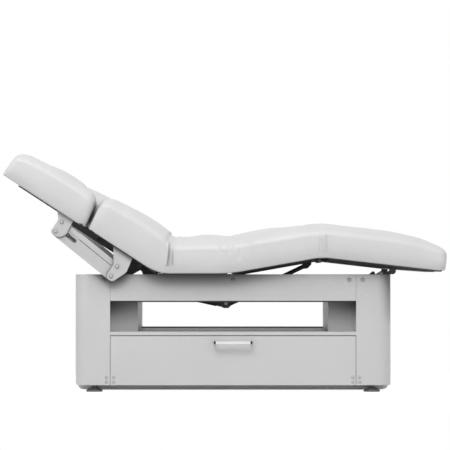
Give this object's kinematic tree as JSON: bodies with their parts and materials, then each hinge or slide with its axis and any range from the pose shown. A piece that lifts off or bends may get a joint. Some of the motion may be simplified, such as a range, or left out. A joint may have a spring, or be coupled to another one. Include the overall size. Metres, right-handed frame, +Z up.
{
  "type": "spa bed with cabinet base",
  "caption": "Spa bed with a tilting backrest, lowering armrests, jointed leg rest and a cabinet base with an open shelf window and a drawer.",
  "frame": {"origin": "bottom centre of the whole bed, on the floor between the feet", "axes": "+X towards the foot end, +Y away from the drawer side, +Z up"},
  "size_m": [1.9911, 0.8002, 1.0763],
  "materials": {
    "upholstery": "soft pale grey leatherette",
    "base_paint": "satin pale grey paint on board",
    "drawer_board": "pale grey laminate",
    "ply_black": "black stained plywood",
    "frame_steel": "satin black powder coat",
    "link_paint": "light grey powder coat",
    "bolt_steel": "satin zinc",
    "handle_steel": "satin",
    "foot_plastic": "matt dark grey",
    "actuator_plastic": "matt black",
    "rod_steel": "bright",
    "nylon": "white nylon"
  },
  "bodies": {
    "root": {"levelling_feet": "foot_plastic", "plinth_tray": "base_paint", "bottom_board": "base_paint", "head_end_shell": "base_paint", "foot_end_shell": "base_paint", "front_apron": "base_paint", "rear_apron": "base_paint", "pillar_boxes": "base_paint", "shelf_board": "base_paint", "rear_lower_panel": "base_paint", "base_screws": "bolt_steel", "top_frame": "frame_steel", "seat_frame": "frame_steel", "seat_board": "ply_black", "seat_cushion": "upholstery", "frame_hinge_pins": "bolt_steel", "mechanism_brackets": "frame_steel", "control_box": "actuator_plastic", "fixed_drawer_runners": "bolt_steel", "waist_fold": "upholstery", "hip_fold": "upholstery"},
    "drawer": {"drawer_front": "base_paint", "drawer_box": "drawer_board", "drawer_handle": "handle_steel", "drawer_screws": "bolt_steel", "moving_drawer_runners": "bolt_steel"},
    "back": {"back_frame": "frame_steel", "back_board": "ply_black", "back_cushion": "upholstery", "carrier_brackets": "link_paint", "back_pivot_bolts": "bolt_steel"},
    "headrest": {"headrest_frame": "frame_steel", "headrest_board": "ply_black", "headrest_cushion": "upholstery"},
    "thigh": {"thigh_frame": "frame_steel", "thigh_board": "ply_black", "thigh_cushion": "upholstery", "knee_hinge_pins": "bolt_steel", "knee_fold": "upholstery"},
    "calf": {"calf_tray": "frame_steel", "calf_board": "ply_black", "calf_cushion": "upholstery"},
    "swing": {"swing_link": "frame_steel", "swing_rollers": "nylon"},
    "back_actuator": {"back_actuator_housing": "actuator_plastic"},
    "back_rod": {"back_actuator_rod": "rod_steel"},
    "leg_actuator": {"leg_actuator_housing": "actuator_plastic"},
    "leg_rod": {"leg_actuator_rod": "rod_steel"},
    "front_lower_link": {"front_arm_lower_link": "link_paint"},
    "front_upper_link": {"front_arm_upper_link": "link_paint"},
    "front_armrest": {"front_armrest_bracket": "link_paint", "front_armrest_bolts": "bolt_steel", "front_armrest_board": "ply_black", "front_armrest_cushion": "upholstery"},
    "rear_lower_link": {"rear_arm_lower_link": "link_paint"},
    "rear_upper_link": {"rear_arm_upper_link": "link_paint"},
    "rear_armrest": {"rear_armrest_bracket": "link_paint", "rear_armrest_bolts": "bolt_steel", "rear_armrest_board": "ply_black", "rear_armrest_cushion": "upholstery"}
  },
  "joints": [
    {"name": "drawer_slide", "type": "slide", "parent": "root", "child": "drawer", "axis": [0, -1, 0], "range_m": [0, 0.43]},
    {"name": "back_tilt", "type": "hinge", "parent": "root", "child": "back", "pos_m": [-0.308, 0, 0.52], "axis": [0, 1, 0], "range_deg": [-33, 27], "deforming": ["waist_fold"]},
    {"name": "headrest_tilt", "type": "hinge", "parent": "back", "child": "headrest", "pos_m": [-0.73211, 0, 0.78588], "axis": [0, 1, 0], "range_deg": [-30, 8]},
    {"name": "thigh_lift", "type": "hinge", "parent": "root", "child": "thigh", "pos_m": [0.022, 0, 0.52], "axis": [0, -1, 0], "range_deg": [-10, 10], "deforming": ["hip_fold"]},
    {"name": "knee_bend", "type": "hinge", "parent": "thigh", "child": "calf", "pos_m": [0.43404, 0, 0.59265], "axis": [0, -1, 0], "range_deg": [-16.5, 16.5], "deforming": ["knee_fold"]},
    {"name": "swing_arm", "type": "hinge", "parent": "root", "child": "swing", "pos_m": [0.6669, 0, 0.4995], "axis": [0, -1, 0], "range_deg": [-22.54, 22.54]},
    {"name": "back_actuator_tilt", "type": "hinge", "parent": "root", "child": "back_actuator", "pos_m": [0.00465, 0, 0.3943], "axis": [0, 1, 0], "range_deg": [-1.77, 1.44]},
    {"name": "back_rod_slide", "type": "slide", "parent": "back_actuator", "child": "back_rod", "axis": [-0.9771, 0, 0.2127], "range_m": [-0.0318, 0.02602]},
    {"name": "leg_actuator_tilt", "type": "hinge", "parent": "root", "child": "leg_actuator", "pos_m": [0.00465, 0, 0.3943], "axis": [0, -1, 0], "range_deg": [-8.3, 8.3]},
    {"name": "leg_rod_slide", "type": "slide", "parent": "leg_actuator", "child": "leg_rod", "axis": [0.904, 0, 0.4275], "range_m": [-0.01849, 0.01849]},
    {"name": "front_arm_lower", "type": "hinge", "parent": "back", "child": "front_lower_link", "pos_m": [-0.51174, 0, 0.52115], "axis": [0, -1, 0], "range_deg": [0, 20]},
    {"name": "front_arm_upper", "type": "hinge", "parent": "back", "child": "front_upper_link", "pos_m": [-0.48397, 0, 0.56392], "axis": [0, -1, 0], "range_deg": [0, 20]},
    {"name": "front_armrest_level", "type": "hinge", "parent": "front_lower_link", "child": "front_armrest", "pos_m": [-0.76005, 0, 0.72175], "axis": [0, -1, 0], "range_deg": [-20, 0]},
    {"name": "rear_arm_lower", "type": "hinge", "parent": "back", "child": "rear_lower_link", "pos_m": [-0.51174, 0, 0.52115], "axis": [0, -1, 0], "range_deg": [0, 20]},
    {"name": "rear_arm_upper", "type": "hinge", "parent": "back", "child": "rear_upper_link", "pos_m": [-0.48397, 0, 0.56392], "axis": [0, -1, 0], "range_deg": [0, 20]},
    {"name": "rear_armrest_level", "type": "hinge", "parent": "rear_lower_link", "child": "rear_armrest", "pos_m": [-0.76005, 0, 0.72175], "axis": [0, -1, 0], "range_deg": [-20, 0]}
  ],
  "couplings": [
    {"joint": "knee_bend", "follows": "thigh_lift", "ratio": -1.65},
    {"joint": "swing_arm", "follows": "thigh_lift", "ratio": 2.254},
    {"joint": "leg_actuator_tilt", "follows": "thigh_lift", "ratio": 0.82966},
    {"joint": "leg_rod_slide", "follows": "thigh_lift", "m_per_rad": 0.10591},
    {"joint": "back_actuator_tilt", "follows": "back_tilt", "ratio": 0.053501},
    {"joint": "back_rod_slide", "follows": "back_tilt", "m_per_rad": 0.055213},
    {"joint": "front_arm_upper", "follows": "front_arm_lower", "ratio": 1},
    {"joint": "front_armrest_level", "follows": "front_arm_lower", "ratio": -1},
    {"joint": "rear_arm_upper", "follows": "rear_arm_lower", "ratio": 1},
    {"joint": "rear_armrest_level", "follows": "rear_arm_lower", "ratio": -1}
  ]
}
